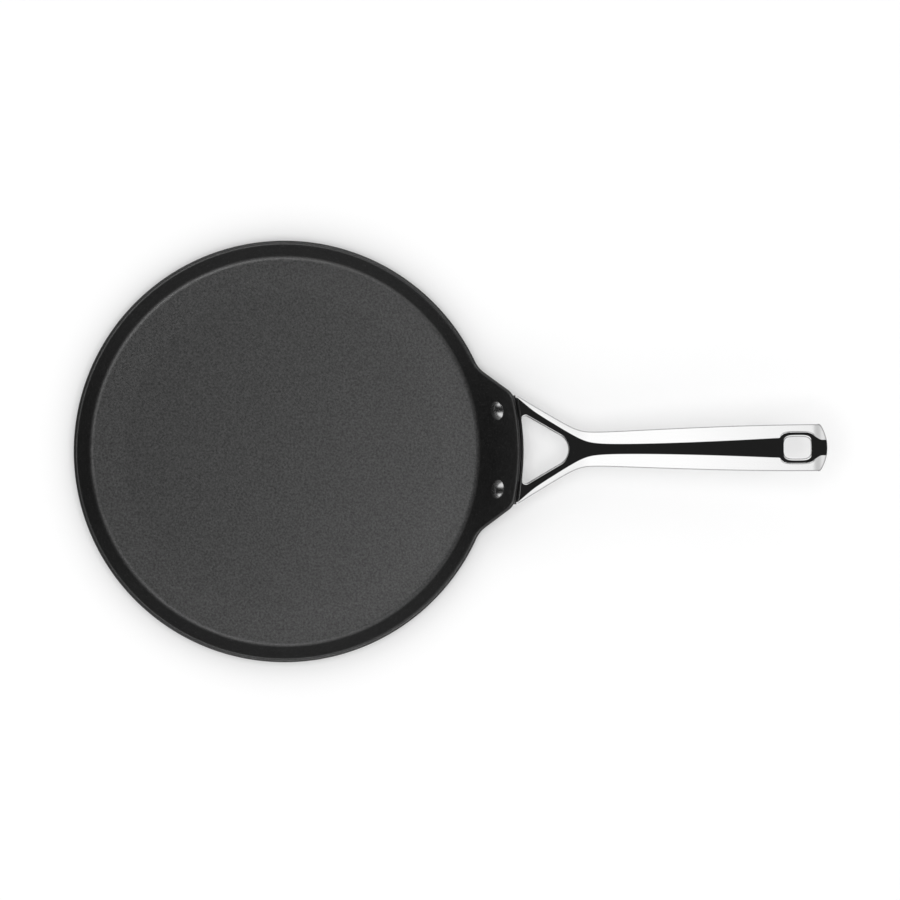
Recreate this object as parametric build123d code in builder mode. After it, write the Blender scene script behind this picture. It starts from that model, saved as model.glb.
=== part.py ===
from build123d import *
from math import asin, cos, degrees, pi, radians, sin, sqrt, tan
import os

os.makedirs("parts", exist_ok=True)

# Crepe pan with a riveted cast handle. Millimetres and degrees, +Z up.
# The origin is at the centre of the base, on the pan's axis, and the handle points along +X.

# Pan body
rim_radius = 140.0
wall_reach = 11.0
floor_thickness = 4.0
wall_thickness = 3.5
wall_slope = 49.0
corner_radius = 5.0
rim_round = 1.6
rim_under_round = 1.2

# Rivets, counted inwards from the ear's edge and sideways from the handle's middle
rivet_inset = 12.5
rivet_half_spacing = 26.0
shank_radius = 3.2
shank_clearance = 0.05
inner_head_radius = 6.25
inner_head_height = 2.8
outer_head_radius = 4.4
outer_head_height = 1.5
head_edge = 0.4
seat_depth = 0.2
seat_margin = 0.4

# Handle's bracket plate, along the outside of the ear
bracket_margin = 8.8
bracket_gap = 0.1
bracket_thickness = 3.0
bracket_below = 8.5
bracket_top_inset = 1.2
bracket_corner_radius = 5.0

# Ear, where the wall stands taller for the handle
ear_reach = 16.5
ear_margin = 2.4
ear_flare = 17.3
ear_shoulder_radius = 12.5
ear_foot_radius = 20.0

# Base disc, bonded into a recess in the underside
base_inset = 32.0
base_thickness = 1.0
base_recess = 0.5
base_clearance = 0.2
base_edge = 0.3

# Handle from above: two arms, a neck and a stem, counted outwards from the ear's edge
arm_inset = 0.25
arm_reach = 38.5
arm_blend = 4.5
arm_bevel = 4.8
crest_reach = 42.5
crest_blend = 5.5
neck_reach = 43.5
neck_half = 10.7
neck_crest_half = 2.6
stem_half = 15.4
stem_crest_half = 7.8
handle_reach = 200.5
tail_length = 9.0
root_length = 20.5

# Handle from the side
top_gap = 0.5
top_step = 0.6
top_start_slope = 21.5
top_end_slope = 1.2
bevel_slope = 25.0
arm_depth = 5.2
neck_depth = 9.5
tail_depth = 7.5
side_share = 0.5
edge_round = 0.8

# Opening between the arms, hanging hole and rounded end
crossbar_width = 2.4
opening_length = 39.15
opening_inset = 11.6
opening_point_radius = 10.5
opening_corner_radius = 2.2
hole_inset = 19.6
hole_length = 16.3
hole_width = 12.8
hole_bow = 0.6
hole_corner_radius = 2.3
lip_radius = 1.6
under_lip_radius = 0.8
end_radius = 29.5
end_corner_radius = 1.6

# One overrun serves all cuts
overrun = 6.0

# Where the handle's sections stand, as shares of the way from its start to its end
station_shares = (0, 0.08, 0.15, 0.2, 0.235, 0.265, 0.295, 0.33, 0.38, 0.45, 0.55, 0.66, 0.77, 0.88, 1)

# Radii of the pan, and half widths of what stands on the ear
floor_radius = rim_radius - wall_reach
base_radius = rim_radius - base_inset
ear_radius = rim_radius + ear_reach
rivet_radius = ear_radius - rivet_inset
bracket_half = rivet_half_spacing + bracket_margin
ear_top_half = bracket_half + ear_margin
ear_foot_half = ear_top_half + ear_flare

# A radial section of the wall. A place is counted up the slope from the line where the floor meets the wall,
# and a depth is counted outwards from the inner face.
underside = base_thickness - base_recess
floor_height = underside + floor_thickness
rise = sin(radians(wall_slope))
run = cos(radians(wall_slope))


def on_wall(place, depth):
    return (floor_radius + place * run + depth * rise, floor_height + place * rise - depth * run)


def place_at(radius, depth):
    return (radius - floor_radius - depth * rise) / run


# Radial plane at the back of the pan, so that the seams lie away from the ear
back = Plane(origin=(0, 0, 0), x_dir=(-1, 0, 0), z_dir=(0, 1, 0))


def radial_plane(angle):
    """Plane through the axis at this angle from the handle: x outwards, y up."""
    out = (cos(radians(angle)), sin(radians(angle)), 0)
    return Plane(origin=(0, 0, 0), x_dir=out, z_dir=(out[1], -out[0], 0))


# Rivet axes: square to the ear, one on each side
rivet_angle = degrees(asin(rivet_half_spacing / rivet_radius))
bracket_half_angle = degrees(asin(bracket_half / rivet_radius))


def rivet_plane(angle, depth):
    """Plane across a rivet at this depth in the stack: x up the slope, z into the pan."""
    out = (cos(radians(angle)), sin(radians(angle)))
    radius, height = on_wall(place_at(rivet_radius, 0), depth)
    return Plane(
        origin=(radius * out[0], radius * out[1], height),
        x_dir=(run * out[0], run * out[1], rise),
        z_dir=(-rise * out[0], -rise * out[1], run),
    )


rivet_angles = (rivet_angle, -rivet_angle)
bracket_inner = wall_thickness + bracket_gap
bracket_outer = bracket_inner + bracket_thickness
inner_seat = seat_depth
outer_seat = bracket_outer - seat_depth

# Pan body. The wall is one cone, and all above the rim is trimmed off straight down along this outline.
ear_foot = (sqrt(rim_radius**2 - ear_foot_half**2), ear_foot_half)
ear_top = (sqrt(ear_radius**2 - ear_top_half**2), ear_top_half)
side_lean = (ear_foot[1] - ear_top[1]) / (ear_top[0] - ear_foot[0])
side_inner = (ear_foot[0] - overrun, ear_foot[1] + overrun * side_lean)
side_outer = (ear_top[0] + overrun, ear_top[1] - overrun * side_lean)


def mirrored(point):
    return (point[0], -point[1])


with BuildSketch() as pan_outline:
    with BuildLine():
        Polyline(side_inner, side_outer, mirrored(side_outer), mirrored(side_inner), close=True)
    make_face()
    Circle(ear_radius, mode=Mode.INTERSECT)
    Circle(rim_radius)
    feet = [vertices().sort_by_distance(point)[0] for point in (ear_foot, mirrored(ear_foot))]
    fillet(feet, ear_foot_radius)
    shoulders = [vertices().sort_by_distance(point)[0] for point in (ear_top, mirrored(ear_top))]
    fillet(shoulders, ear_shoulder_radius)

wall_foot = on_wall((wall_thickness * run - floor_thickness) / rise, wall_thickness)
wall_end = place_at(ear_radius + overrun, 0)
with BuildPart() as pan_body:
    with BuildSketch(back):
        with BuildLine():
            Polyline(
                (0, underside),
                wall_foot,
                on_wall(wall_end, wall_thickness),
                on_wall(wall_end, 0),
                (floor_radius, floor_height),
                (0, floor_height),
                close=True,
            )
        make_face()
        fillet(vertices().sort_by_distance((floor_radius, floor_height))[0], corner_radius)
        fillet(vertices().sort_by_distance(wall_foot)[0], corner_radius + wall_thickness)
    revolve(axis=Axis.Z)
    add(pan_outline.sketch)
    extrude(amount=ear_radius, mode=Mode.INTERSECT)
    trims = faces().filter_by(lambda face: abs(face.normal_at().Z) < 1e-6)
    fillet([face.edges().sort_by(Axis.Z)[-1] for face in trims], rim_round)
    trims = faces().filter_by(lambda face: abs(face.normal_at().Z) < 1e-6)
    fillet([face.edges().sort_by(Axis.Z)[0] for face in trims], rim_under_round)
    with BuildSketch(Plane.XY.offset(underside)):
        Circle(base_radius + base_clearance)
    extrude(amount=base_recess, mode=Mode.SUBTRACT)
    for angle in rivet_angles:
        with BuildSketch(rivet_plane(angle, inner_seat)):
            Circle(inner_head_radius + seat_margin)
        extrude(amount=overrun, mode=Mode.SUBTRACT)
        with BuildSketch(rivet_plane(angle, inner_seat)):
            Circle(shank_radius + shank_clearance)
        extrude(amount=-outer_seat, mode=Mode.SUBTRACT)
pan_body.part.label = "pan_body"
export_step(pan_body.part, "parts/pan_body.step")

# Base disc
with BuildPart() as base_disc:
    with BuildSketch():
        Circle(base_radius)
    extrude(amount=base_thickness)
    chamfer(faces().sort_by(Axis.Z)[0].edges(), base_edge)
base_disc.part.label = "base_disc"
export_step(base_disc.part, "parts/base_disc.step")


# Rivets: a domed head inside the pan, a shank, and a closed head on the bracket
def rivet(angle):
    seat = rivet_plane(angle, 0)
    with BuildPart() as made:
        with BuildSketch(Plane(origin=seat.origin, x_dir=seat.x_dir, z_dir=-seat.y_dir)):
            with BuildLine():
                inner_dome = inner_head_height - head_edge
                outer_dome = outer_head_height - head_edge
                Polyline(
                    (0, inner_head_height - inner_seat),
                    (0, -outer_seat - outer_head_height),
                )
                RadiusArc(
                    (0, -outer_seat - outer_head_height),
                    (outer_head_radius, -outer_seat - head_edge),
                    -(outer_head_radius**2 + outer_dome**2) / outer_dome / 2,
                )
                Polyline(
                    (outer_head_radius, -outer_seat - head_edge),
                    (outer_head_radius, -outer_seat),
                    (shank_radius, -outer_seat),
                    (shank_radius, -inner_seat),
                    (inner_head_radius, -inner_seat),
                    (inner_head_radius, head_edge - inner_seat),
                )
                RadiusArc(
                    (inner_head_radius, head_edge - inner_seat),
                    (0, inner_head_height - inner_seat),
                    -(inner_head_radius**2 + inner_dome**2) / inner_dome / 2,
                )
            make_face()
        revolve(axis=Axis(seat.origin, seat.z_dir))
    return made.part


for name, angle in (("rivet_left", rivet_angle), ("rivet_right", -rivet_angle)):
    fastener = rivet(angle)
    fastener.label = name
    export_step(fastener, f"parts/{name}.step")


# Handle, as seen from above and from the side
handle_start = ear_radius - root_length
handle_end = ear_radius + handle_reach
stem_full = handle_end - tail_length
neck_start = ear_radius + neck_reach
arm_meeting = ear_radius + arm_reach
crest_meeting = ear_radius + crest_reach
arm_foot_half = bracket_half - arm_inset
arm_slope = (arm_foot_half - neck_half) / arm_reach
crest_slope = (arm_foot_half - arm_bevel - neck_crest_half) / crest_reach
top_start = ear_radius + top_gap
top_start_height = on_wall(place_at(ear_radius, wall_thickness), wall_thickness)[1] - top_step


def eased(x):
    """Progress along the stem, as an angle from zero to a quarter turn."""
    return pi / 2 * min(max((x - neck_start) / (stem_full - neck_start), 0), 1)


def spread(x, slope, meeting, blend):
    """What the arms add to a half width: a straight slope that eases into nothing past the meeting point."""
    straight = (meeting - x) * slope
    return (straight + sqrt(straight**2 + blend**2)) / 2


def half_width(x):
    return neck_half + (stem_half - neck_half) * sin(eased(x)) + spread(x, arm_slope, arm_meeting, arm_blend)


def crest_half(x):
    widening = (stem_crest_half - neck_crest_half) * (1 - cos(eased(x)))
    return neck_crest_half + widening + spread(x, crest_slope, crest_meeting, crest_blend)


def top_height(x):
    start = tan(radians(top_start_slope))
    bend = (start - tan(radians(top_end_slope))) / (handle_end - top_start) / 2
    return top_start_height + start * (x - top_start) - bend * (x - top_start) ** 2


def depth(x):
    grown = min(max((x - top_start) / (neck_start - top_start), 0), 1)
    thickening = (neck_depth - arm_depth) * (1 - cos(pi * grown)) / 2
    return arm_depth + thickening - (neck_depth - tail_depth) * (1 - cos(eased(x)))


def section_points(x):
    """Eight points of the cross-section, from the left bevel's crest round to the right bevel's crest."""
    crest = crest_half(x)
    width = half_width(x)
    top = top_height(x)
    drop = (width - crest) * tan(radians(bevel_slope))
    side = (depth(x) - drop) * side_share
    under = depth(x) - drop - side
    left = [(crest, top), (width, top - drop), (width, top - drop - side), (width - under, top - depth(x))]
    return left + [(-y, z) for y, z in reversed(left)]


# The blank is eight long facets between eight long edges, closed at both ends
corner_count = len(section_points(handle_start))
blank_end = handle_end + overrun
stations = [handle_start + share * (blank_end - handle_start) for share in station_shares]
rails = [[Vector(x, *section_points(x)[corner]) for x in stations] for corner in range(corner_count)]
long_edges = [Edge.make_spline(rail, parameters=list(station_shares)) for rail in rails]
facets = [Face.make_surface_from_curves(long_edges[k - 1], long_edges[k]) for k in range(corner_count)]
blank_ends = [Face(Wire.make_polygon([rail[end] for rail in rails])) for end in (0, -1)]
handle_blank = Solid(Shell(facets + blank_ends))

bracket_low = place_at(rivet_radius, 0) - bracket_below
bracket_high = place_at(ear_radius, wall_thickness) - bracket_top_inset
room_low = place_at(0, bracket_inner)
above_all = 2 * top_height(handle_end)
sector_reach = blank_end * tan(radians(bracket_half_angle))
opening_radius = ear_radius + crossbar_width
opening_tip = opening_radius + opening_length
opening_slope = (arm_foot_half - opening_inset) / opening_length
opening_reach = (opening_tip - handle_start) * opening_slope
opening_start = (handle_start, opening_reach)
hole_centre = handle_end - hole_inset
hole_x = hole_length / 2
hole_y = hole_width / 2
end_corner_x = handle_end - end_radius + sqrt(end_radius**2 - stem_half**2)
# Each lip as the level of its facet, its place along the handle and its radius
lips = ((-1, 0, lip_radius), (-1, -1, lip_radius), (0, 0, under_lip_radius), (0, -1, lip_radius))


def bracket_corner(angle):
    """Where the bracket's lower edge meets its side, on the inner face."""
    radius, height = on_wall(bracket_low, bracket_inner)
    return (radius * cos(radians(angle)), radius * sin(radians(angle)), height)


def end_corner(side):
    """Middle of the side facet where the rounded end cuts it."""
    upper, lower = section_points(end_corner_x)[1:3]
    return (end_corner_x, side * upper[0], (upper[1] + lower[1]) / 2)


with BuildPart() as handle:
    add(handle_blank)
    # Bracket plate: a sector of the wall's own cone, cleared for the ear and cut to length on both sides
    with BuildSketch(radial_plane(-2 * bracket_half_angle)):
        with BuildLine():
            Polyline(
                on_wall(bracket_low, bracket_inner - overrun),
                on_wall(bracket_high, bracket_inner - overrun),
                on_wall(bracket_high, bracket_outer),
                on_wall(bracket_low, bracket_outer),
                close=True,
            )
        make_face()
    revolve(axis=Axis.Z, revolution_arc=4 * bracket_half_angle)
    with BuildSketch(back):
        with BuildLine():
            Polyline(
                on_wall(room_low, bracket_inner),
                on_wall(wall_end, bracket_inner),
                (0, on_wall(wall_end, bracket_inner)[1]),
                close=True,
            )
        make_face()
    revolve(axis=Axis.Z, mode=Mode.SUBTRACT)
    with BuildSketch():
        with BuildLine():
            Polyline((0, 0), (blank_end, sector_reach), (blank_end, -sector_reach), close=True)
        make_face()
    extrude(amount=above_all, mode=Mode.INTERSECT)
    straight = edges().filter_by(GeomType.LINE)
    corners = [bracket_corner(angle) for angle in (bracket_half_angle, -bracket_half_angle)]
    fillet([straight.sort_by_distance(corner)[0] for corner in corners], bracket_corner_radius)
    # Triangular opening between the arms
    with BuildSketch():
        with BuildLine():
            Polyline((opening_tip, 0), opening_start, mirrored(opening_start), close=True)
        make_face()
        Circle(opening_radius, mode=Mode.SUBTRACT)
    extrude(amount=above_all, mode=Mode.SUBTRACT)
    fillet(edges().filter_by(Axis.Z).sort_by(Axis.X)[:2], opening_corner_radius)
    fillet(edges().filter_by(Axis.Z).sort_by(Axis.X)[-1], opening_point_radius)
    # Hanging hole, a rectangle with four bowed sides
    with BuildSketch(Plane((hole_centre, 0, 0))):
        with BuildLine():
            ThreePointArc((-hole_x, -hole_y), (0, -hole_y - hole_bow), (hole_x, -hole_y))
            ThreePointArc((hole_x, -hole_y), (hole_x + hole_bow, 0), (hole_x, hole_y))
            ThreePointArc((hole_x, hole_y), (0, hole_y + hole_bow), (-hole_x, hole_y))
            ThreePointArc((-hole_x, hole_y), (-hole_x - hole_bow, 0), (-hole_x, -hole_y))
        make_face()
        fillet(vertices(), hole_corner_radius)
    extrude(amount=above_all, mode=Mode.SUBTRACT)
    # Bowed end
    with BuildSketch(Plane((handle_end - end_radius, 0, 0))):
        Rectangle(2 * end_radius, 2 * end_radius, align=(Align.MIN, Align.CENTER))
        Circle(end_radius, mode=Mode.SUBTRACT)
    extrude(amount=above_all, mode=Mode.SUBTRACT)
    # Lips of the opening and of the hanging hole, on the top facet and then on the underside
    for level, place, radius in lips:
        pierced = faces().filter_by(lambda face: len(face.inner_wires()) > 0).sort_by(Axis.Z)[level]
        fillet(pierced.inner_wires().sort_by(Axis.X)[place].edges(), radius)
    # Corners of the end, then the long edges of the sides and of the underside
    fillet([edges().sort_by_distance(end_corner(side))[0] for side in (1, -1)], end_corner_radius)
    fillet(edges().filter_by(lambda edge: edge.length > end_corner_x - top_start), edge_round)
    # Seats and holes for the rivets
    for angle in rivet_angles:
        with BuildSketch(rivet_plane(angle, outer_seat)):
            Circle(outer_head_radius + seat_margin)
        extrude(amount=-overrun, mode=Mode.SUBTRACT)
        with BuildSketch(rivet_plane(angle, outer_seat)):
            Circle(shank_radius + shank_clearance)
        extrude(amount=outer_seat, mode=Mode.SUBTRACT)
handle.part.label = "handle"
export_step(handle.part, "parts/handle.step")
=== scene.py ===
from math import atan2, pi, radians, sqrt, tan

import bmesh
import bpy
import numpy as np
from bpy.props import FloatProperty, PointerProperty, StringProperty
from bpy.types import Operator, Panel, PropertyGroup
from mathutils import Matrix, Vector


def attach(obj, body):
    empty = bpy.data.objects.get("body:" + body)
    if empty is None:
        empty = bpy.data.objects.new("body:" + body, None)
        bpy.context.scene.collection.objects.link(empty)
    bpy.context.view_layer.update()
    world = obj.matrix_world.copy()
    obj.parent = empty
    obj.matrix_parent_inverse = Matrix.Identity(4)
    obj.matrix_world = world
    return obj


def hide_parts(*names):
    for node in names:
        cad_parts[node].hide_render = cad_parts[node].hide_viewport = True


bl_info = {
    "name": "Crepe pan",
    "version": (1, 0, 0),
    "blender": (4, 5, 0),
    "location": "View3D > Sidebar > Crepe pan",
    "description": "Builds a coated crepe pan with a polished cast handle",
    "category": "Add Mesh",
}

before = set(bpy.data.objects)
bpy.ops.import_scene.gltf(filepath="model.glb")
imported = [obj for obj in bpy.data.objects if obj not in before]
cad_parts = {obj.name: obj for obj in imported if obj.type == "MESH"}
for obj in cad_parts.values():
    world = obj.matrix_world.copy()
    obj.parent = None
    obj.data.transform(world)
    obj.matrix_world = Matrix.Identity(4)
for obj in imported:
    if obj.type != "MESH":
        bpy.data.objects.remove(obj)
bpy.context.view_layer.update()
MM = 0.001
BODY = "root"
# Vertices closer than this are joined, and edges that turn by more than this stay sharp
WELD = 2e-6
SHARP = radians(50)
# Where the lamps aim, the photograph's width in pixels, and the width of a pixel at the rim
AIM = Vector((0.1, 0, 0))
PIXELS = 900
PIXEL = 0.66373 * MM


# Properties

def length(label, millimetres, about):
    """A length, given in millimetres and kept in metres."""
    return FloatProperty(name=label, description=about, default=millimetres * MM, unit="LENGTH", precision=5)


def angle(label, degrees, about):
    """An angle, given in degrees and kept in radians."""
    return FloatProperty(name=label, description=about, default=radians(degrees), subtype="ANGLE")


def share(label, value, about):
    """A share from 0 to 1."""
    return FloatProperty(name=label, description=about, default=value, min=0, max=1, subtype="FACTOR")


def colour(label, code, about):
    """A colour, written as an sRGB hex code."""
    return StringProperty(name=label, description=about, default=code)


class PanShape(PropertyGroup):
    """Sizes of the forged pan body."""

    rim_radius: length("Rim radius", 139.998, "Outer radius of the rim")
    floor_radius: length("Floor radius", 129.0, "Radius at which the floor would meet the wall")
    floor_thickness: length("Floor thickness", 4.0, "Thickness of the floor")
    wall_thickness: length("Wall thickness", 3.5, "Thickness of the wall, square to its face")
    wall_slope: angle("Wall slope", 49.0, "Slope of the wall above the floor")
    corner_radius: length("Corner radius", 5.0, "Inner radius between the floor and the wall")
    rim_round: length("Rim round", 1.6, "Radius of the rim's upper edge")
    rim_under_round: length("Rim under round", 1.2, "Radius of the rim's lower edge")
    ear_radius: length("Ear radius", 156.5, "Outer radius of the ear")
    ear_top_half: length("Ear top half width", 37.2, "Half width of the ear at its outer radius")
    ear_foot_half: length("Ear foot half width", 54.5, "Half width of the ear where it leaves the rim")
    ear_shoulder_radius: length("Shoulder radius", 12.5, "Radius of the ear's corners")
    ear_foot_radius: length("Foot radius", 20.0, "Radius between the ear's side and the rim")
    base_radius: length("Disc radius", 108.0, "Radius of the base disc")
    base_thickness: length("Disc thickness", 1.0, "Thickness of the base disc")
    base_recess: length("Recess depth", 0.5, "How deep the disc sits in the underside")
    base_clearance: length("Recess clearance", 0.2, "Room round the disc in its recess")


class RivetShape(PropertyGroup):
    """Sizes of the two rivets and of the bracket plate that they hold."""

    circle_radius: length("Rivet radius", 143.6, "Distance of each rivet from the pan's axis")
    half_spacing: length("Half spacing", 26.0, "Distance of each rivet from the handle's middle plane")
    head_radius: length("Head radius", 6.25, "Radius of the head inside the pan")
    head_height: length("Head height", 2.8, "Height of the head inside the pan, from its seat")
    closed_radius: length("Closed head radius", 4.4, "Radius of the closed head on the bracket")
    closed_height: length("Closed head height", 1.5, "Height of the closed head on the bracket")
    shank_radius: length("Shank radius", 3.2, "Radius of the shank")
    edge: length("Head edge", 0.4, "Height of the upright edge of both heads")
    seat_depth: length("Seat depth", 0.2, "How deep both heads are seated")
    bracket_gap: length("Bracket gap", 0.1, "Gap between the ear and the bracket plate")
    bracket_thickness: length("Bracket thickness", 3.0, "Thickness of the bracket plate")
    bracket_half_angle: angle("Bracket half angle", 13.4, "Half of the angle that the bracket plate spans")
    bracket_below: length("Bracket below", 8.5, "How far the bracket reaches down the slope from the rivets")
    bracket_top_inset: length("Bracket top inset", 1.2, "How far the bracket stays below the ear's edge")
    bracket_corner_radius: length("Bracket corner", 5.0, "Radius of the bracket's lower corners")


class HandleShape(PropertyGroup):
    """Sizes of the cast handle: two arms, a neck and a stem with three long facets on top."""

    root_half_angle: angle("Root half angle", 13.0, "Half of the angle between the arms at the ear")
    arm_slope: angle("Arm slope", 31.8, "Angle of an arm's outer edge from the handle's axis")
    arm_meeting: length("Arm meeting", 195.0, "Where the arms' outer slopes would reach the neck")
    arm_blend: length("Arm blend", 4.5, "How gently the arms run into the neck")
    neck_half: length("Neck half width", 10.7, "Half width of the neck")
    stem_half: length("Stem half width", 15.4, "Half width of the stem at its end")
    crest_slope: angle("Crest slope", 32.6, "Angle of the crest along an arm")
    crest_meeting: length("Crest meeting", 200.0, "Where the crests' slopes would reach the neck")
    crest_blend: length("Crest blend", 5.0, "How gently the crests run into the neck")
    neck_crest_half: length("Neck crest half width", 3.0, "Half width of the middle facet at the neck")
    stem_crest_half: length("Stem crest half width", 7.8, "Half width of the middle facet at the end")
    bevel_start: length("Bevel start", 150.7, "Where the bevels would have no width, within the ear")
    bevel_taper: share("Bevel taper", 0.27, "How fast the bevels widen from there")
    crest_round: length("Crest round", 0.9, "How softly the facets meet at the crest")
    neck_start: length("Neck start", 200.0, "Where the neck begins to widen into the stem")
    stem_full: length("Stem full", 348.0, "Where the stem has its full width")
    end: length("End", 356.98, "Where the handle ends")
    top_start: length("Top start", 157.0, "Where the top begins, beside the ear")
    top_start_height: length("Top start height", 30.2, "Height of the top beside the ear")
    top_start_slope: angle("Top start slope", 21.5, "Slope of the top beside the ear")
    top_end_slope: angle("Top end slope", 1.2, "Slope of the top at the end")
    bevel_slope: angle("Bevel slope", 25.0, "How far the outer facets fall away from the middle one")
    arm_depth: length("Arm depth", 5.2, "Depth of the arms")
    neck_depth: length("Neck depth", 9.5, "Depth of the neck")
    tail_depth: length("Tail depth", 7.5, "Depth of the stem at its end")
    side_share: share("Side share", 0.5, "Share of the depth below the bevel that stands upright")
    opening_radius: length("Opening radius", 158.9, "Radius of the opening's edge beside the ear")
    opening_slope: angle("Opening slope", 30.4, "Angle of the opening's sides from the handle's axis")
    opening_point: length("Opening point", 187.8, "Where the opening ends")
    opening_point_radius: length("Opening point radius", 10.5, "Radius of the opening's point")
    opening_corner_radius: length("Opening corner radius", 2.2, "Radius of the opening's two corners")
    hole_band: length("Hole band", 3.4, "Width of the flat band round the hanging hole")
    band_step: length("Band step", 0.7, "Width of the step from the flat band down to the bevel")
    hole_centre: length("Hole centre", 337.4, "Distance of the hanging hole from the pan's axis")
    hole_length: length("Hole length", 17.5, "Length of the hanging hole, over its bowed sides")
    hole_width: length("Hole width", 14.0, "Width of the hanging hole, over its bowed sides")
    lip_reach: length("Lip reach", 1.7, "How wide the rounded lips of both openings are")
    lip_drop: length("Lip drop", 1.6, "How deep the rounded lips of both openings are")
    edge_reach: length("Edge reach", 1.1, "How wide the rounding of the outer edge is")
    edge_drop: length("Edge drop", 0.7, "How deep the rounding of the outer edge is")
    end_length: length("End length", 9.5, "Length over which the crests close in at the end")
    end_pinch: length("End pinch", 2.5, "How far each crest closes in at the end")
    end_drop: length("End drop", 0.5, "How far the top falls away at the end")
    end_radius: length("End radius", 29.5, "Radius of the bowed end")
    end_corner_radius: length("End corner radius", 2.0, "Radius of the end's two corners")


class Finish(PropertyGroup):
    """Colours of the finishes, as sRGB hex codes."""

    floor_coat: colour("Floor coating", "#282828", "Non-stick coating on the floor")
    # The wall's colour is the same coating with painted shade: darker where the wall tilts away from the
    # light
    wall_coat_painted_shade: colour("Wall coating", "#101010", "Non-stick coating on the wall")
    fleck: colour("Fleck", "#6b6b6b", "Flecks in the coating")
    steel: colour("Polished steel", "#d3d3d3", "Polished stainless steel")
    rivet: colour("Rivet steel", "#b2b2b2", "Tumbled stainless steel")
    disc: colour("Disc steel", "#b4b2ae", "Turned stainless steel")
    table: colour("Table", "#f4f4f4", "Table and backdrop")


# Shared shapes

def directions(turn):
    """Plan directions at these angles."""
    return np.stack((np.cos(turn), np.sin(turn)), axis=-1)


def polar(flat):
    """Lengths of plan vectors, and their directions."""
    distance = np.linalg.norm(flat, axis=1)
    return distance, flat / distance[:, None]


def raised(flat, height):
    """Plan points lifted to their heights."""
    return np.concatenate((flat, np.broadcast_to(height, flat.shape[:-1])[..., None]), axis=-1)


def eased(value):
    """A smooth step: nothing up to zero, one from one on."""
    value = np.clip(value, 0, 1)
    return value**2 * (3 - 2 * value)


def arc(centre, radius, start, end, count):
    """Points of an arc and the directions to them: the centre plus the radius times each direction."""
    out = directions(np.linspace(start, end, count))
    return np.asarray(centre) + radius * out, out


def straight(start, end, normal, count):
    """Points of a straight line and one normal for all of them."""
    rest = np.linspace(0, 1, count)[:, None]
    return start + rest * (end - start), np.tile(normal, (count, 1))


def chain(parts):
    """Joins parts of an outline, each a pair of points and normals, and drops the points that repeat."""
    return tuple(
        np.concatenate([part[kind][:-1] for part in parts[:-1]] + [parts[-1][kind]]) for kind in (0, 1)
    )


def mirrored(half):
    """The other side's outline, run backwards, without its first and last point."""
    return half[::-1][1:-1] * (1, -1)


def whole(half):
    """A closed outline from its half: points and normals."""
    return tuple(np.concatenate((part, mirrored(part))) for part in half)


def slerp(start, end, steps):
    """Directions that turn evenly from one set of unit vectors to another: steps by vectors by three."""
    apart = np.arccos(np.clip((start * end).sum(-1), -1, 1))[None, :, None]
    rest = np.linspace(0, 1, steps)[:, None, None]
    return (np.sin((1 - rest) * apart) * start + np.sin(rest * apart) * end) / np.sin(apart)


def grid(points, closed=False):
    """Vertices and faces of a surface given as rows of points. Closed joins each row's end to its start."""
    rows, columns = points.shape[:2]
    index = np.arange(rows * columns).reshape(rows, columns)
    if closed:
        index = np.hstack((index, index[:, :1]))
    faces = np.stack((index[:-1, :-1], index[1:, :-1], index[1:, 1:], index[:-1, 1:]), axis=-1)
    return points.reshape(-1, 3), faces.reshape(-1, 4)


def piece(name, patches, material, replaced):
    """A smooth closed object from patches of vertices and faces, which are joined where they meet."""
    starts = np.cumsum([0] + [len(vertices) for vertices, faces in patches])
    vertices = np.concatenate([vertices for vertices, faces in patches])
    faces = np.concatenate([faces + start for (_, faces), start in zip(patches, starts)])
    mesh = bpy.data.meshes.new(name)
    mesh.from_pydata(vertices.tolist(), [], faces.tolist())
    work = bmesh.new()
    work.from_mesh(mesh)
    bmesh.ops.remove_doubles(work, verts=work.verts, dist=WELD)
    bmesh.ops.recalc_face_normals(work, faces=work.faces)
    work.to_mesh(mesh)
    work.free()
    mesh.shade_smooth()
    mesh.set_sharp_from_angle(angle=SHARP)
    mesh.materials.append(material)
    made = bpy.data.objects.new(name, mesh)
    bpy.context.scene.collection.objects.link(made)
    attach(made, BODY)
    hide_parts(*replaced)


# The wall: a cone, seen as a line in a radial section

def wall_facts(pan):
    """Sine and cosine of the slope, and the heights of the underside and of the floor."""
    underside = pan.base_thickness - pan.base_recess
    return np.sin(pan.wall_slope), np.cos(pan.wall_slope), underside, underside + pan.floor_thickness


def wall_height(pan, radius, depth):
    """Height of the wall's line at a radius, for a line at this depth below the inner face."""
    rise, run, _, floor = wall_facts(pan)
    return floor + (radius - pan.floor_radius - depth * rise) / run * rise - depth * run


def on_wall(pan, place, depth):
    """Radius and height of a point, this far up the slope and this deep below the inner face."""
    rise, run, _, floor = wall_facts(pan)
    return pan.floor_radius + place * run + depth * rise, floor + place * rise - depth * run


def place_at(pan, radius, depth):
    """How far up the slope a line at this depth reaches the radius."""
    rise, run, _, _ = wall_facts(pan)
    return (radius - pan.floor_radius - depth * rise) / run


# Pan body

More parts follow.
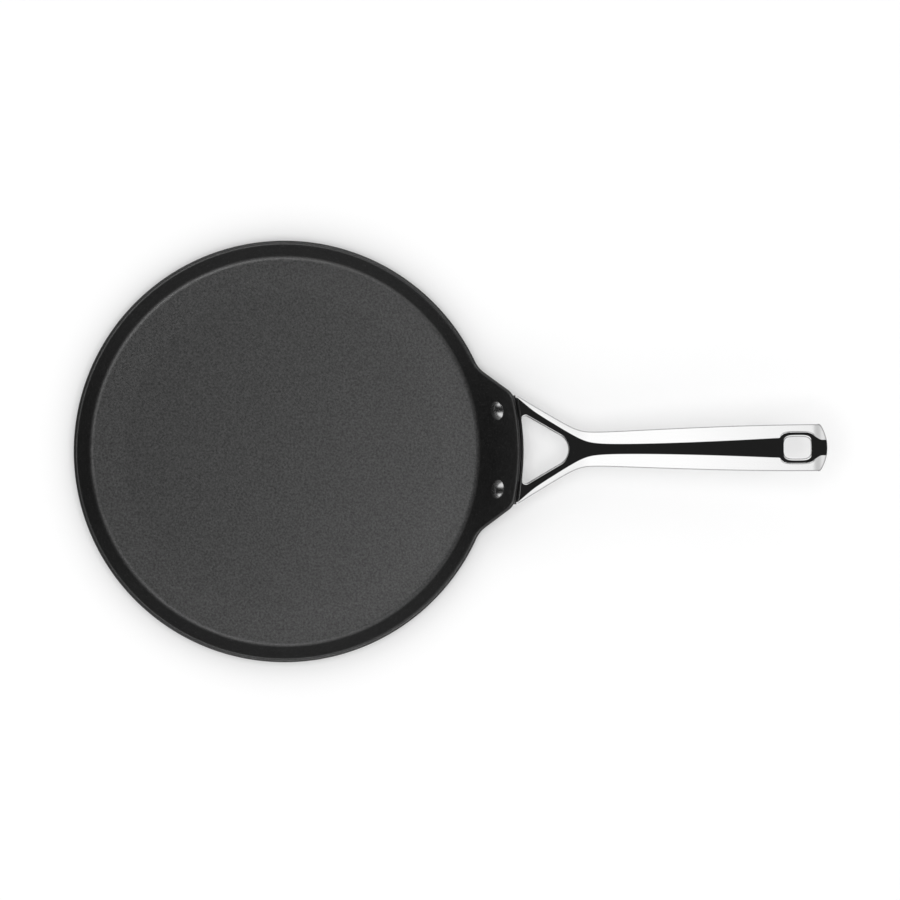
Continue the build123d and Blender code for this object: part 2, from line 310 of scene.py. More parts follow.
def pan_outline(pan):
    """Plan outline of the wall with its outward normals: the rim's circle, a hollow arc at the ear's foot,
    the ear's straight side, its shoulder and its own circle. Each arc's centre lies at a known distance from
    the side's line and from the axis, so it is the side's normal times the one plus the side's direction
    times the rest."""
    foot = np.array((sqrt(pan.rim_radius**2 - pan.ear_foot_half**2), pan.ear_foot_half))
    top = np.array((sqrt(pan.ear_radius**2 - pan.ear_top_half**2), pan.ear_top_half))
    along = (top - foot) / np.linalg.norm(top - foot)
    across = np.array((-along[1], along[0]))

    def centre(offset, distance):
        return across * offset + along * sqrt(distance**2 - offset**2)

    hollow_radius = pan.ear_foot_radius
    shoulder_radius = pan.ear_shoulder_radius
    hollow = centre(foot @ across + hollow_radius, pan.rim_radius + hollow_radius)
    shoulder = centre(foot @ across - shoulder_radius, pan.ear_radius - shoulder_radius)
    foot_turn = atan2(hollow[1], hollow[0])
    side_turn = atan2(across[1], across[0])
    shoulder_turn = atan2(shoulder[1], shoulder[0])
    side_start = hollow - hollow_radius * across
    side_end = shoulder + shoulder_radius * across
    return whole(chain((
        arc((0, 0), pan.rim_radius, pi, foot_turn, 340),
        arc(hollow, -hollow_radius, foot_turn, side_turn, 26),
        straight(side_start, side_end, across, 20),
        arc(shoulder, shoulder_radius, side_turn, shoulder_turn, 26),
        arc((0, 0), pan.ear_radius, shoulder_turn, 0, 44),
    )))


def ring(radius, height, out):
    """A row of points at a radius and a height, in the given plan directions."""
    return raised(np.broadcast_to(radius, len(out))[:, None] * out, height)


def wall_rows(pan, edge, foot, level, depth, count):
    """Rows from a flat up a corner's arc and up the wall's line at a depth, short of an edge. The foot is
    where that line would meet the flat. Also gives the arc's start and the edge's directions."""
    reach, out = polar(edge[:, :2])
    corner = pan.corner_radius + depth
    start = foot - corner * tan(pan.wall_slope / 2)
    end = start + corner * np.sin(pan.wall_slope)
    rows = []
    for turn in np.linspace(0, pan.wall_slope, 11):
        rows.append(ring(start + corner * np.sin(turn), level + corner * (1 - np.cos(turn)), out))
    for part in np.linspace(0, 1, count)[1:-1]:
        radius = end + part * (reach - end)
        rows.append(ring(radius, wall_height(pan, radius, depth), out))
    return rows, start, out


def pan_rows(pan):
    """Rows of the pan's skin, each once round: from the middle of the floor out over the corner's arc, up the
    wall, over the rim by two rolling balls that touch the wall and the upright trim, down the outer face,
    round the outer corner and across the underside to the middle of the recess. A ball's centre is its radius
    inside the outline, and its radius over the cosine of the slope below or above the wall's line."""
    rise, run, underside, floor = wall_facts(pan)
    outline, normal = pan_outline(pan)
    wall = pan.wall_thickness
    balls = []
    for radius, depth, side in ((pan.rim_round, 0, 1), (pan.rim_under_round, wall, -1)):
        flat = outline - radius * normal
        distance, out = polar(flat)
        centre = raised(flat, wall_height(pan, distance, depth) - side * radius / run)
        turns = slerp(side * raised(-rise * out, run), raised(normal, 0), 9)[::side]
        balls.append(centre + radius * turns)
    over, below = balls
    inner, floor_end, out = wall_rows(pan, over[0], pan.floor_radius, floor, 0, 12)
    rows = [ring(floor_end * part, floor, out) for part in np.linspace(0, 1, 7)[:-1]]
    rows += inner + list(over) + list(below)
    foot = on_wall(pan, (wall * run - pan.floor_thickness) / rise, wall)[0]
    outer, _, out = wall_rows(pan, below[-1], foot, underside, wall, 10)
    rows += outer[::-1]
    recess = pan.base_radius + pan.base_clearance
    for radius, height in ((recess, underside), (recess, pan.base_thickness), (0, pan.base_thickness)):
        rows.append(ring(radius, height, out))
    return np.stack(rows)


# Rivets

def rivet_skin(pan, rivets, side):
    """A profile of radius and height turned about the rivet's axis, square to the ear's inner face."""
    rise, run, _, _ = wall_facts(pan)
    out = directions(side * np.arcsin(rivets.half_spacing / rivets.circle_radius))
    radius, height = on_wall(pan, place_at(pan, rivets.circle_radius, 0), 0)
    origin = np.array((*(radius * out), height))
    axis = np.array((*(-rise * out), run))
    up_slope = np.array((*(run * out), rise))
    across = np.cross(axis, up_slope)
    inner_seat = -rivets.seat_depth
    outer_seat = -(pan.wall_thickness + rivets.bracket_gap + rivets.bracket_thickness - rivets.seat_depth)
    inner = dome(rivets.head_radius, rivets.head_height, rivets.edge)
    outer = dome(rivets.closed_radius, rivets.closed_height, rivets.edge)
    profile = np.vstack((
        inner + (0, inner_seat),
        (rivets.shank_radius, inner_seat),
        (rivets.shank_radius, outer_seat),
        (outer * (1, -1))[::-1] + (0, outer_seat),
    ))
    spin = np.linspace(0, 2 * pi, 96, endpoint=False)[None, :, None]
    level = profile[:, None, 1:] * axis
    return origin + level + profile[:, None, :1] * (np.cos(spin) * up_slope + np.sin(spin) * across)


def dome(radius, height, edge):
    """Profile of a head from its crown down to its seat: a ball's cap, a small round and an upright edge. The
    cap's ball has the radius (radius squared plus rise squared) over twice the rise."""
    bend = 0.45 * edge
    cap = height - edge
    ball = (radius**2 + cap**2) / cap / 2
    across = np.linspace(0, radius - bend, 22)
    cap_height = edge + cap - ball + np.sqrt(ball**2 - across**2)
    rounded = arc((radius - bend, cap_height[-1] - bend), bend, pi / 2, 0, 7)[0][1:]
    return np.vstack((np.stack((across, cap_height), axis=1), rounded, (radius, 0)))


# Handle

def soft(value, blend):
    """Nothing below zero, the value above it and a smooth turn: half of the value plus its rounded size."""
    return (value + np.sqrt(value**2 + blend**2)) / 2


def stem_turn(handle, x):
    """Progress along the stem, as an angle from zero to a quarter turn."""
    return pi / 2 * np.clip((x - handle.neck_start) / (handle.stem_full - handle.neck_start), 0, 1)


def half_width(handle, x):
    """Half width: the neck, plus a sine towards the stem's end, plus the arms' slope that eases in."""
    widening = (handle.stem_half - handle.neck_half) * np.sin(stem_turn(handle, x))
    arms = soft((handle.arm_meeting - x) * tan(handle.arm_slope), handle.arm_blend)
    return handle.neck_half + widening + arms


def crest_half(handle, x):
    """Half width of the middle facet, made the same way with one minus a cosine. Beside the ear the bevel is
    no wider than a straight taper, with a smooth turn."""
    widening = (handle.stem_crest_half - handle.neck_crest_half) * (1 - np.cos(stem_turn(handle, x)))
    arms = soft((handle.crest_meeting - x) * tan(handle.crest_slope), handle.crest_blend)
    crest = handle.neck_crest_half + widening + arms
    taper = (x - handle.bevel_start) * handle.bevel_taper
    return crest + soft(half_width(handle, x) - crest - taper, handle.crest_round)


def spine(handle, x):
    """Height of the middle facet: a parabola whose slope falls evenly from its start to the end."""
    start = tan(handle.top_start_slope)
    bend = (start - tan(handle.top_end_slope)) / (handle.end - handle.top_start) / 2
    return handle.top_start_height + start * (x - handle.top_start) - bend * (x - handle.top_start) ** 2


def depth_at(handle, x):
    """Depth: a smooth step from the arms to the neck, then less towards the end."""
    grown = np.clip((x - handle.top_start) / (handle.neck_start - handle.top_start), 0, 1)
    thickening = (handle.neck_depth - handle.arm_depth) * (1 - np.cos(pi * grown)) / 2
    thinning = (handle.neck_depth - handle.tail_depth) * (1 - np.cos(stem_turn(handle, x)))
    return handle.arm_depth + thickening - thinning


def band_half(handle, x):
    """Half width of the flat band round the hanging hole: a squared ellipse of the fourth power, and far
    below zero before and after it."""
    fall, turn = 3, 0.05
    across = (x - handle.hole_centre) / (handle.hole_length / 2 + handle.hole_band)
    inside = np.clip(1 - across**4, 0, None) ** 0.25
    reach = handle.hole_width / 2 + handle.hole_band
    return reach * inside - reach * soft(np.abs(across) - 1, turn) * fall


def top_of(handle, flat):
    """Height of the upper side over plan points: the spine less the bevels that fall away past each crest.
    Round the hanging hole a flat band stands out of the bevels, as far as the larger of two half widths with
    a smooth turn between them. Towards the end the crests close in by a smooth step, and the top falls away
    by the third power of the way gone."""
    pinch_haste = 1.6
    x, y = flat[..., 0], flat[..., 1]
    ending = np.clip((x - handle.end) / handle.end_length + 1, 0, None)
    crest = crest_half(handle, x) - handle.end_pinch * eased(ending * pinch_haste)
    past = soft(y - crest, handle.crest_round) + soft(-y - crest, handle.crest_round)
    flat_half = crest + soft(band_half(handle, x) - crest, handle.crest_round)
    falling = eased((np.abs(y) - flat_half) / handle.band_step + 0.5)
    return spine(handle, x) - tan(handle.bevel_slope) * past * falling - handle.end_drop * ending**3


def under_of(handle, flat):
    """Height of the underside: the spine less the depth, rising at 45 degrees near the sides."""
    x, y = flat[..., 0], flat[..., 1]
    width = half_width(handle, x)
    drop = (width - crest_half(handle, x)) * tan(handle.bevel_slope)
    depth = depth_at(handle, x)
    inner = width - (depth - drop) * (1 - handle.side_share)
    past = soft(y - inner, handle.crest_round) + soft(-y - inner, handle.crest_round)
    return spine(handle, x) - depth + past


def edge_rows(handle, base, into, top_lip, under_lip):
    """Rows over a rounded upright edge: a quarter of an ellipse down from the top, then one up to the
    underside. The base is the edge's plan outline and into points into the metal."""
    turn = np.linspace(pi / 2, 0, 8)
    rows = []
    for lip, height_of, sign, turns in ((top_lip, top_of, 1, turn), (under_lip, under_of, -1, turn[::-1])):
        for step in turns:
            flat = base + lip[0] * (1 - np.cos(step)) * into
            rows.append(raised(flat, height_of(handle, flat) - sign * lip[1] * (1 - np.sin(step))))
    return rows


def ring_rows(handle, base, into, outer, under_outer, lips, count):
    """Rows of a ring round an opening: in from the outer boundary over the top, through the opening and out
    again over the underside. Between the boundaries the plan points run in straight lines, closer together by
    the lips."""
    crowding = 1.4
    rows = []
    for lip, limit, height_of, parts in (
        (lips[0], outer, top_of, np.linspace(1, 0, count)[:-1]),
        (lips[1], under_outer, under_of, np.linspace(0, 1, count)[1:]),
    ):
        start = base + lip[0] * into
        lines = [start + part * (limit - start) for part in parts**crowding]
        rows.append([raised(flat, height_of(handle, flat)) for flat in lines])
    return np.stack(rows[0] + edge_rows(handle, base, into, *lips) + rows[1])


def side_outline(handle, x):
    """Plan outline of the handle's left side with its outward normals. Beside the ear it ends on a plane
    through the axis."""
    step, blend = 1e-5, 0.6 * MM

    def left(at):
        width = half_width(handle, at)
        return width - soft(width - at * tan(handle.root_half_angle), blend)

    slope = (left(x + step) - left(x - step)) / step / 2
    normal = np.stack((-slope, np.ones_like(x)), axis=1) / np.sqrt(1 + slope**2)[:, None]
    return np.stack((x, left(x)), axis=1), normal


def end_outline(handle):
    """Left half of the bowed end: the point where the side's run stops, and the arcs of the corner and of the
    bow after it."""
    centre = np.array((handle.end - handle.end_radius, 0.0))
    corner = handle.end_corner_radius
    side = half_width(handle, handle.end) - corner
    turn_centre = centre + (sqrt((handle.end_radius - corner) ** 2 - side**2), side)
    turn = atan2(side, turn_centre[0] - centre[0])
    arcs = arc(turn_centre, corner, pi / 2, turn, 16), arc(centre, handle.end_radius, turn, 0, 22)
    return turn_centre + (0, corner), arcs


def opening_outline(handle):
    """Outline of the opening with normals into the metal, in fine steps: an arc beside the ear, a small
    corner, a straight side and a rounded point. The corner's centre lies at a known distance from the side
    and from the axis."""
    slope = handle.opening_slope
    across = np.array((np.sin(slope), np.cos(slope)))
    along = np.array((-np.cos(slope), np.sin(slope)))
    point = np.array((handle.opening_point - handle.opening_point_radius, 0.0))
    reach = point @ across + handle.opening_point_radius
    corner_radius = handle.opening_corner_radius
    offset = reach - corner_radius
    distance = handle.opening_radius + corner_radius
    corner = across * offset - along * sqrt(distance**2 - offset**2)
    turn = atan2(corner[1], corner[0])
    beside = arc((0, 0), handle.opening_radius, 0, turn, 160)
    return whole(chain((
        (beside[0], -beside[1]),
        arc(corner, corner_radius, turn + pi, pi / 2 - slope, 120),
        straight(corner + corner_radius * across, point + handle.opening_point_radius * across, across, 200),
        arc(point, handle.opening_point_radius, pi / 2 - slope, 0, 160),
    )))


def at_angles(outline, centre, turns):
    """Points and normals of an outline in the given directions from a centre inside it."""
    points, normals = outline
    own = np.arctan2(points[:, 1] - centre[1], points[:, 0] - centre[0])
    found = [np.interp(turns, own, column, period=2 * pi) for column in (*points.T, *normals.T)]
    return np.stack(found[:2], axis=1), polar(np.stack(found[2:], axis=1))[1]


def hole_outline(handle, turns):
    """Outline of the hanging hole in the given directions: a squared ellipse of the fourth power."""
    half = np.array((handle.hole_length, handle.hole_width)) / 2
    out = directions(turns)
    radius = (((out / half) ** 4).sum(axis=1)) ** -0.25
    flat = radius[:, None] * out
    return flat + (handle.hole_centre, 0), polar(flat**3 / half**4)[1]


def section_line(handle, start):
    """Plan points across the handle between an edge point and its mirror image, closer at the crests."""
    x, limit = start
    crest = crest_half(handle, x)
    inner = np.linspace(0, 1, 12)[:-1] * crest
    outer = crest + np.linspace(0, 1, 11) * (limit - crest)
    half = np.concatenate((inner, outer))
    y = np.concatenate((half[::-1], -half[1:]))
    return np.stack((np.full_like(y, x), y), axis=1)


def contact_radius(pan, rivets, height):
    """Radius of the bracket's inner face at a height."""
    rise, run, _, floor = wall_facts(pan)
    depth = pan.wall_thickness + rivets.bracket_gap
    return pan.floor_radius + depth * rise + (height - floor + depth * run) / rise * run


def handle_patches(pan, rivets, handle):
    """The casting: a ring round the opening, the stem's top and underside, a ring round the hanging hole, a
    strip along the whole outer edge, the face beside the ear and the bracket plate."""
    past_opening, before_hole = 18 * MM, 15 * MM
    edge = (handle.edge_reach, handle.edge_drop)
    # Where the left side leaves the ear, in the 15 mm before the top's start
    x = np.linspace(handle.top_start - 15 * MM, handle.top_start, 400)
    side, _ = side_outline(handle, x)
    room = polar(side)[0] - contact_radius(pan, rivets, top_of(handle, side))
    root = np.interp(0, room, x)
    ring_end = handle.opening_point + past_opening
    stem_end = handle.hole_centre - before_hole
    # Left side as points and normals: the arm, the stem, and the run beside the hanging hole
    run_end, end_arcs = end_outline(handle)
    arm = side_outline(handle, np.linspace(root, ring_end, 90))
    stem = side_outline(handle, np.linspace(ring_end, stem_end, 130))
    run = side_outline(handle, np.linspace(stem_end, run_end[0], 34))
    run[0][-1] = run_end
    left = chain((arm, stem, run, *end_arcs))
    outline, normal = (np.concatenate((part, mirrored(part), part[:1] * (1, -1))) for part in left)
    strip = np.stack(edge_rows(handle, outline, -normal, edge, edge))

    def inset(part):
        return part[0] - handle.edge_reach * part[1]

    # Ring round the opening. Its boundary runs beside the ear, along one arm, across and along the other
    under_reach, off_centre, narrowing = 1.5 * MM, 0.35, 0.2
    left_arm = inset(arm)
    reach = atan2(left_arm[0, 1], left_arm[0, 0])
    out = directions(np.linspace(-reach, reach, 75)[1:-1])
    radius = np.full(len(out), np.linalg.norm(left_arm[0]))
    for _ in range(12):
        radius = contact_radius(pan, rivets, top_of(handle, radius[:, None] * out))
    sides = (left_arm, section_line(handle, left_arm[-1])[1:-1], left_arm[::-1] * (1, -1))
    boundary = np.concatenate((radius[:, None] * out, *sides))
    under_boundary = np.concatenate(((radius[:, None] - under_reach) * out, *sides))
    middle = np.array((handle.opening_radius * (1 - off_centre) + handle.opening_point * off_centre, 0))
    turns = np.arctan2(boundary[:, 1] - middle[1], boundary[:, 0] - middle[0])
    base, into = at_angles(opening_outline(handle), middle, turns)
    # The lip is narrower on the bar beside the ear than on the arms
    lip = (handle.lip_reach * (1 - narrowing + narrowing * into[:, :1]), handle.lip_drop)
    opening = ring_rows(handle, base, into, boundary, under_boundary, (lip, edge), 26)
    # Face beside the ear, between the top's and the underside's boundaries
    half = len(strip) // 2
    upper = np.concatenate((strip[:half, -1][::-1], opening[0, :len(out)], strip[:half, 0]))
    lower = np.concatenate((strip[half:, -1], opening[-1, :len(out)], strip[half:, 0][::-1]))
    lines = np.stack([section_line(handle, point) for point in inset(stem)])
    # Ring round the hanging hole
    around = inset(chain((run, *end_arcs)))
    boundary = np.concatenate((around, mirrored(around), around[:1] * (1, -1), lines[-1][::-1][1:-1]))
    turns = np.arctan2(boundary[:, 1], boundary[:, 0] - handle.hole_centre)
    base, into = hole_outline(handle, turns)
    lip = (handle.lip_reach, handle.lip_drop)
    hole = ring_rows(handle, base, into, boundary, boundary, (lip, lip), 34)
    return [
        grid(strip),
        grid(opening, closed=True),
        grid(np.stack((upper, lower))),
        grid(raised(lines, top_of(handle, lines))),
        grid(raised(lines, under_of(handle, lines))),
        grid(hole, closed=True),
        grid(bracket_rows(pan, rivets), closed=True),
    ]


def bracket_rows(pan, rivets):
    """Rows of the bracket plate, each once round: from the middle of its outer face out to a rounded edge,
    through the thickness and back to the middle of its inner face. Its outline is a rectangle with rounded
    lower corners, laid on the ear's cone by its place up the slope and its way round."""
    low = place_at(pan, rivets.circle_radius, 0) - rivets.bracket_below
    high = place_at(pan, pan.ear_radius, pan.wall_thickness) - rivets.bracket_top_inset
    half = rivets.bracket_half_angle * rivets.circle_radius
    lower, upper = rivets.bracket_corner_radius, 0.4 * MM
    outline, normal = whole(chain((
        straight(np.array((low, 0)), np.array((low, half - lower)), (-1, 0), 40),
        arc((low + lower, half - lower), lower, pi, pi / 2, 16),
        straight(np.array((low + lower, half)), np.array((high - upper, half)), (0, 1), 20),
        arc((high - upper, half - upper), upper, pi / 2, 0, 6),
        straight(np.array((high, half - upper)), np.array((high, 0)), (1, 0), 40),
    )))
    middle = np.array(((low + high) / 2, 0))
    round_off = 0.6 * MM
    inner = pan.wall_thickness + rivets.bracket_gap
    outer = inner + rivets.bracket_thickness
    edge = outline - round_off * normal
    flats = [(middle + part * (edge - middle), outer) for part in np.linspace(0, 1, 12)]
    for turn in np.linspace(0, pi / 2, 7)[1:]:
        flats.append((edge + round_off * np.sin(turn) * normal, outer - round_off * (1 - np.cos(turn))))
    flats += [(middle + part * (outline - middle), inner) for part in np.linspace(1, 0, 4)]
    rows = []
    for flat, depth in flats:
        rows.append(ring(*on_wall(pan, flat[:, 0], depth), directions(flat[:, 1] / rivets.circle_radius)))
    return np.stack(rows)


# Materials

def linear(code):
    """An sRGB hex code as linear red, green, blue and alpha."""
    values = np.array([int(code[start:start + 2], 16) for start in (1, 3, 5)]) / 255
    low = values / 12.92
    high = ((values + 0.055) / 1.055) ** 2.4
    return (*np.where(values <= 0.04045, low, high).tolist(), 1.0)


def feed(tree, node, **links):
    """Links or fills a node's inputs, each named with its spaces as _ or by its number after an i."""
    for key, value in links.items():
        numbered = key[0] == "i" and key[1:].isdigit()
        socket = node.inputs[int(key[1:]) if numbered else key.replace("_", " ")]
        if isinstance(value, bpy.types.NodeSocket):
            tree.links.new(value, socket)
        else:
            socket.default_value = value
    return node


def add_node(tree, kind, settings=None, **links):
    """Adds a shader node, sets its properties and links or fills its inputs."""
    node = tree.nodes.new("ShaderNode" + kind)
    for key, value in (settings or {}).items():
        setattr(node, key, value)
    return feed(tree, node, **links)


def maths(tree, operation, *values):
    """The result of an operation on numbers."""
    inputs = {f"i{place}": value for place, value in enumerate(values)}
    return add_node(tree, "Math", {"operation": operation}, **inputs).outputs[0]


def mixed(tree, part, first, second, mode="MIX"):
    """Two colours, mixed by a part of the second."""
    settings = {"data_type": "RGBA", "blend_type": mode}
    return add_node(tree, "Mix", settings, i0=part, i6=first, i7=second).outputs[2]


def between(tree, part, first, second):
    """A number between two others, by a part of the second."""
    return add_node(tree, "Mix", {"data_type": "FLOAT"}, i0=part, i2=first, i3=second).outputs[0]


def spread(tree, value, low, high, start=0.0, end=1.0, smooth=False):
    """A value from start to end, brought between low and high: evenly, or with smooth ends."""
    settings = {"interpolation_type": "SMOOTHSTEP"} if smooth else {}
    limits = {"From_Min": start, "From_Max": end, "To_Min": low, "To_Max": high}
    return add_node(tree, "MapRange", settings, Value=value, **limits).outputs[0]


def noise(tree, place, size, detail, **more):
    """Noise with features of about this size."""
    return add_node(tree, "TexNoise", Vector=place, Scale=1 / size, Detail=detail, **more).outputs["Fac"]


def plan_distance(tree, place):
    """Distance from the vertical axis."""
    flat = add_node(tree, "VectorMath", {"operation": "MULTIPLY"}, i0=place, i1=(1, 1, 0)).outputs[0]
    return add_node(tree, "VectorMath", {"operation": "LENGTH"}, i0=flat).outputs["Value"]


def ramp(tree, value, stops):
    """A grey ramp between two stops, each a place and a level."""
    node = add_node(tree, "ValToRGB", Fac=value)
    for element, (place, level) in zip(node.color_ramp.elements, stops):
        element.position = place
        element.color = (level, level, level, 1)
    return node.outputs["Color"]


def new_material(name):
    """A material with a Principled shader: the material, its tree, the shader and Object coordinates."""
    material = bpy.data.materials.new(name)
    material.use_nodes = True
    tree = material.node_tree
    tree.nodes.clear()
    shader = add_node(tree, "BsdfPrincipled")
    add_node(tree, "OutputMaterial", Surface=shader.outputs["BSDF"])
    return material, tree, shader, add_node(tree, "TexCoord").outputs["Object"]


def roughen(tree, shader, height, depth, strength):
    """Gives the shader's surface a relief from a pattern."""
    bump = add_node(tree, "Bump", Height=height, Distance=depth, Strength=strength)
    feed(tree, shader, Normal=bump.outputs[0])


def sprayed_coating(finish, pan):
    """Sprayed non-stick coating over hard-anodised aluminium: satin, with a fine mottled grain and sparse
    paler flecks. The wall has a darker colour than the floor. This is painted shade, where the same coating
    tilts away from the light."""
    material, tree, shader, place = new_material("sprayed_nonstick_coating")
    floor_end, wall_start = pan.floor_radius - 1.3 * MM, pan.floor_radius + 2 * MM
    # Painted shade: the wall takes a darker copy of the coating than the floor, blended in over the corner
    on_floor = spread(tree, plan_distance(tree, place), 1.0, 0.0, floor_end, wall_start, smooth=True)
    painted_shade_coat = mixed(tree, on_floor, linear(finish.wall_coat_painted_shade), linear(finish.floor_coat))
    # Mottle of the sprayed film, about 1.4 mm across, and flecks of about 0.5 mm
    mottle = ramp(tree, noise(tree, place, 1.4 * MM, 3.0, Roughness=0.65), ((0.3, 0.2), (0.7, 1.8)))
    fleck = ramp(tree, noise(tree, place, 0.9 * MM, 2.0, Roughness=0.8), ((0.62, 0.0), (0.74, 0.35)))
    toned = mixed(tree, 1.0, painted_shade_coat, mottle, "MULTIPLY")
    flecked = mixed(tree, fleck, toned, linear(finish.fleck))
    rough = spread(tree, noise(tree, place, 6 * MM, 3.0), 0.37, 0.45)
    feed(tree, shader, Base_Color=flecked, IOR=1.5, Roughness=rough)
    roughen(tree, shader, mottle, 0.03 * MM, 0.8)
    return material


def tumbled_steel(finish):
    """Stainless steel rivets, tumbled after heading: a soft shine, with a fine grain from the stones."""
    material, tree, shader, place = new_material("tumbled_stainless_steel")
    grain = noise(tree, place, 1.2 * MM, 3.0)
    rough = spread(tree, grain, 0.2, 0.28, 0.3, 0.7)
    feed(tree, shader, Base_Color=linear(finish.rivet), Metallic=1.0, Roughness=rough)
    roughen(tree, shader, grain, 0.02 * MM, 0.5)
    return material


def polished_steel(finish):
    """Cast stainless steel, polished on a buffing wheel: a mirror with a faint long waviness and hairline
    scratches that follow the handle."""
    material, tree, shader, place = new_material("polished_stainless_steel")
    # Hairlines: noise stretched fifty times along the handle
    stretched = add_node(tree, "Mapping", Vector=place, Scale=(30, 1500, 1500)).outputs[0]
    rough = spread(tree, noise(tree, stretched, 1.0, 2.0), 0.05, 0.13, 0.3, 0.8)
    feed(tree, shader, Base_Color=linear(finish.steel), Metallic=1.0, Roughness=rough)
    roughen(tree, shader, noise(tree, place, 14 * MM, 1.0), 0.03 * MM, 0.5)
    return material


def turned_steel(finish):
    """Magnetic stainless steel, faced on a lathe: fine rings about the axis, with a dull sheen."""
    material, tree, shader, place = new_material("turned_stainless_steel")
    radius = plan_distance(tree, place)
    # Rings drawn 0.8 mm apart, coarser than a real facing cut, so that they show
    settings = {"noise_dimensions": "1D"}
    rings = add_node(tree, "TexNoise", settings, W=radius, Scale=1 / (0.8 * MM), Detail=4.0).outputs["Fac"]
    base = mixed(tree, 1.0, linear(finish.disc), ramp(tree, rings, ((0.3, 0.8), (0.7, 1.1))), "MULTIPLY")
    feed(tree, shader, Base_Color=base, Metallic=1.0, Roughness=spread(tree, rings, 0.28, 0.45))
    roughen(tree, shader, rings, 0.02 * MM, 0.6)
    return material


def table_top(finish):
    """Pale matt laminate that keeps the object's shadow. To the camera it is a little darker, with a faint
    glow, so that it turns white away from the object."""
    seen_tone, glow = (0.85, 0.85, 0.85, 1), 0.07
    material, tree, shader, _ = new_material("pale_laminate")
    seen = add_node(tree, "LightPath").outputs["Is Camera Ray"]
    tone = mixed(tree, seen, linear(finish.table), seen_tone)
    feed(tree, shader, Base_Color=tone, Roughness=0.9, Specular_IOR_Level=0.0)
    feed(tree, shader, Emission_Color=(1, 1, 1, 1), Emission_Strength=maths(tree, "MULTIPLY", seen, glow))
    return material


def studio_tent():
    """Two white panels, left and right of the handle, with a dark gap between them overhead, where the camera
    stands, and dark ground to the horizon. All borders are soft, and the camera itself sees plain white. Matt
    surfaces are lit by a dimmer panel all round instead, so that the shadow is even on all sides."""
    panel_edge, horizon, ground, matt_panel = (0.3, 0.55), (0.08, 0.4), 0.02, 0.82
    world = bpy.data.worlds.new("studio")
    world.use_nodes = True
    tree = world.node_tree
    tree.nodes.clear()
    way = add_node(tree, "TexCoord").outputs["Generated"]
    split = add_node(tree, "SeparateXYZ", i0=way).outputs
    path = add_node(tree, "LightPath").outputs
    matt = path["Is Diffuse Ray"]
    sideways = between(tree, matt, maths(tree, "ABSOLUTE", split["Y"]), plan_distance(tree, way))
    beside = spread(tree, sideways, 0.0, 1.0, *panel_edge, smooth=True)
    above = spread(tree, split["Z"], 0.0, 1.0, *horizon, smooth=True)
    # The two panels are a little brighter towards the pan than past the handle's end
    along = between(tree, matt, spread(tree, split["X"], 1.5, 0.8, -0.3, 0.5), matt_panel)
    level = maths(tree, "MULTIPLY_ADD", maths(tree, "MULTIPLY", beside, above), along, ground)
    level = between(tree, path["Is Camera Ray"], level, 1.0)
    back = add_node(tree, "Background", Color=(1, 1, 1, 1), Strength=level)
    add_node(tree, "OutputWorld", Surface=back.outputs[0])
    return world


# Operators

class CREPEPAN_OT_pan_body(Operator):
    """Builds the forged pan body with its coating"""

    bl_idname = "crepepan.pan_body"
    bl_label = "Pan body"

    def execute(self, context):
        pan = context.scene.crepe_pan
        material = sprayed_coating(context.scene.crepe_finish, pan)
        piece("coated_pan", [grid(pan_rows(pan), closed=True)], material, ["pan_body"])
        return {"FINISHED"}


class CREPEPAN_OT_base_disc(Operator):
    """Gives the base disc its turned finish"""

    bl_idname = "crepepan.base_disc"
    bl_label = "Base disc"

    def execute(self, context):
        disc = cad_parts["base_disc"]
        disc.data.materials.clear()
        disc.data.materials.append(turned_steel(context.scene.crepe_finish))
        return {"FINISHED"}


class CREPEPAN_OT_handle(Operator):
    """Builds the cast handle with its bracket"""

    bl_idname = "crepepan.handle"
    bl_label = "Handle"

    def execute(self, context):
        scene = context.scene
        patches = handle_patches(scene.crepe_pan, scene.crepe_rivets, scene.crepe_handle)
        piece("cast_handle", patches, polished_steel(scene.crepe_finish), ["handle"])
        return {"FINISHED"}


class CREPEPAN_OT_rivets(Operator):
    """Builds the two rivets"""

    bl_idname = "crepepan.rivets"
    bl_label = "Rivets"

    def execute(self, context):
        scene = context.scene
        material = tumbled_steel(scene.crepe_finish)
        for name, side in (("left", 1), ("right", -1)):
            skin = grid(rivet_skin(scene.crepe_pan, scene.crepe_rivets, side), closed=True)
            piece("domed_rivet_" + name, [skin], material, ["rivet_" + name])
        return {"FINISHED"}


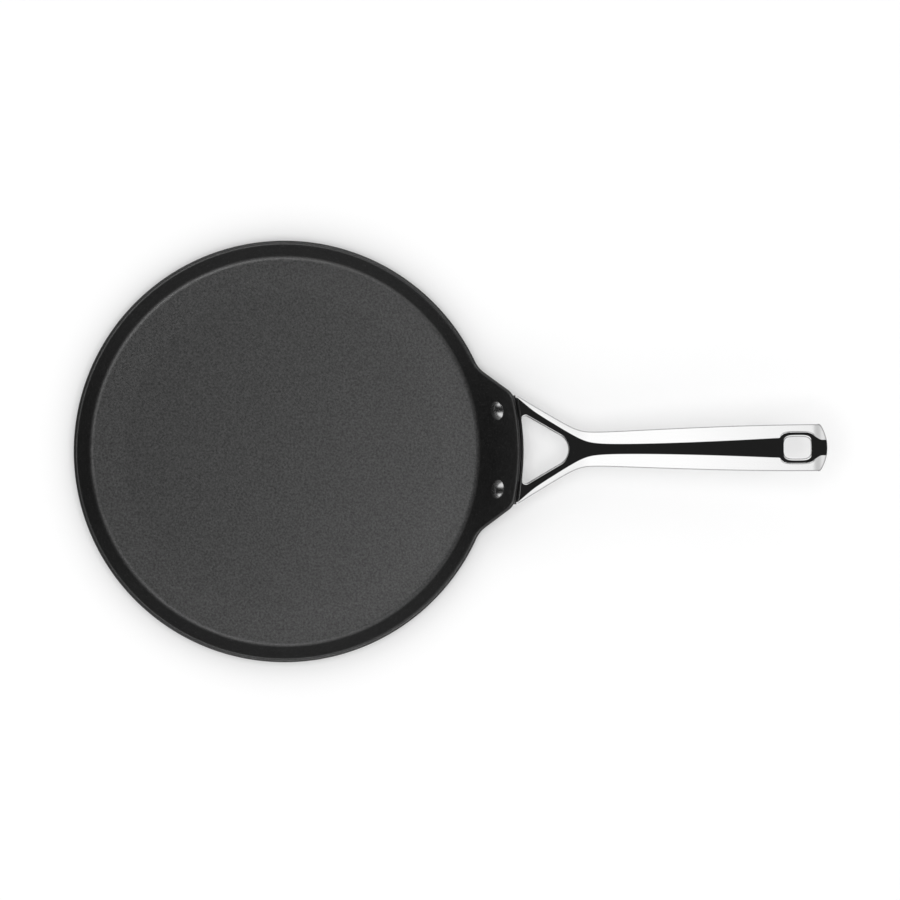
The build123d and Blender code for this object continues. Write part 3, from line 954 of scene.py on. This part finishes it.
class CREPEPAN_OT_stage(Operator):
    """Sets up the table, the lights and the camera"""

    bl_idname = "crepepan.stage"
    bl_label = "Stage"

    def execute(self, context):
        scene = context.scene
        scene.view_settings.view_transform = "Standard"
        finish = scene.crepe_finish
        # The table's top lies a hair below the disc's underside, so that the two faces don't coincide
        half, level = 6.0, -0.02 * MM
        corners = [(-half, -half, level), (half, -half, level), (half, half, level), (-half, half, level)]
        mesh = bpy.data.meshes.new("table")
        mesh.from_pydata(corners, [], [(0, 1, 2, 3)])
        mesh.materials.append(table_top(finish))
        table = bpy.data.objects.new("table", mesh)
        scene.collection.objects.link(table)
        # A large softbox overhead, in the gap of the tent, a small one by the handle's end and two strips at
        # the sides. The last three give the coating its sheen and the light line round its corner, and light
        # nothing else.
        coated = bpy.data.collections.new("coated")
        coated.objects.link(bpy.data.objects["coated_pan"])
        for name, place, size, energy in (
            ("softbox_overhead", (0.14, -0.1, 3.0), (1.9, 1.9), 44.0),
            ("softbox_sheen", (0.35, -0.15, 0.8), (0.5, 0.5), 1.7),
            ("softbox_left", (0.2, 0.62, 1.0), (0.9, 0.25), 3.7),
            ("softbox_right", (0.2, -0.62, 1.0), (0.9, 0.25), 4.7),
        ):
            lamp = bpy.data.lights.new(name, "AREA")
            lamp.shape = "ELLIPSE"
            lamp.size, lamp.size_y = size
            lamp.energy = energy
            source = bpy.data.objects.new(name, lamp)
            source.location = place
            source.rotation_euler = (AIM - Vector(place)).to_track_quat("-Z", "Y").to_euler()
            source.visible_camera = False
            if name == "softbox_overhead":
                source.visible_glossy = False
            else:
                source.visible_diffuse = False
                source.light_linking.receiver_collection = coated
            scene.collection.objects.link(source)
        scene.world = studio_tent()
        # The photograph is taken from straight above and from far away, turned by less than half a degree
        camera = bpy.data.cameras.new("camera")
        camera.sensor_width = 36.0
        distance = 4.0
        camera.lens = camera.sensor_width * distance / (PIXELS * PIXEL)
        camera.clip_end = 50
        eye = bpy.data.objects.new("camera", camera)
        rim_height = 14.5 * MM
        eye.location = (109.91 * MM, 0.17 * MM, rim_height + distance)
        eye.rotation_euler = (0, 0, radians(-0.42))
        scene.collection.objects.link(eye)
        scene.camera = eye
        return {"FINISHED"}


class CREPEPAN_PT_sidebar(Panel):
    """Lists every step and size"""

    bl_idname = "CREPEPAN_PT_sidebar"
    bl_label = "Crepe pan"
    bl_space_type = "VIEW_3D"
    bl_region_type = "UI"
    bl_category = "Crepe pan"

    def draw(self, context):
        for operator in OPERATORS:
            self.layout.operator(operator.bl_idname)
        for name in GROUPS:
            group = getattr(context.scene, name)
            box = self.layout.box()
            for key in group.__annotations__:
                box.prop(group, key)


GROUPS = {
    "crepe_pan": PanShape,
    "crepe_rivets": RivetShape,
    "crepe_handle": HandleShape,
    "crepe_finish": Finish,
}
OPERATORS = (
    CREPEPAN_OT_pan_body, CREPEPAN_OT_base_disc, CREPEPAN_OT_handle, CREPEPAN_OT_rivets, CREPEPAN_OT_stage
)


def register():
    """Registers every class and hangs the property groups on the scene."""
    for made in (*GROUPS.values(), *OPERATORS, CREPEPAN_PT_sidebar):
        bpy.utils.register_class(made)
    for name, group in GROUPS.items():
        setattr(bpy.types.Scene, name, PointerProperty(type=group))


def unregister():
    """Takes back what register did."""
    for name in GROUPS:
        delattr(bpy.types.Scene, name)
    for made in reversed((*GROUPS.values(), *OPERATORS, CREPEPAN_PT_sidebar)):
        bpy.utils.unregister_class(made)


def main():
    register()
    bpy.ops.crepepan.pan_body()
    bpy.ops.crepepan.base_disc()
    bpy.ops.crepepan.handle()
    bpy.ops.crepepan.rivets()
    bpy.ops.crepepan.stage()


if __name__ == "__main__":
    main()
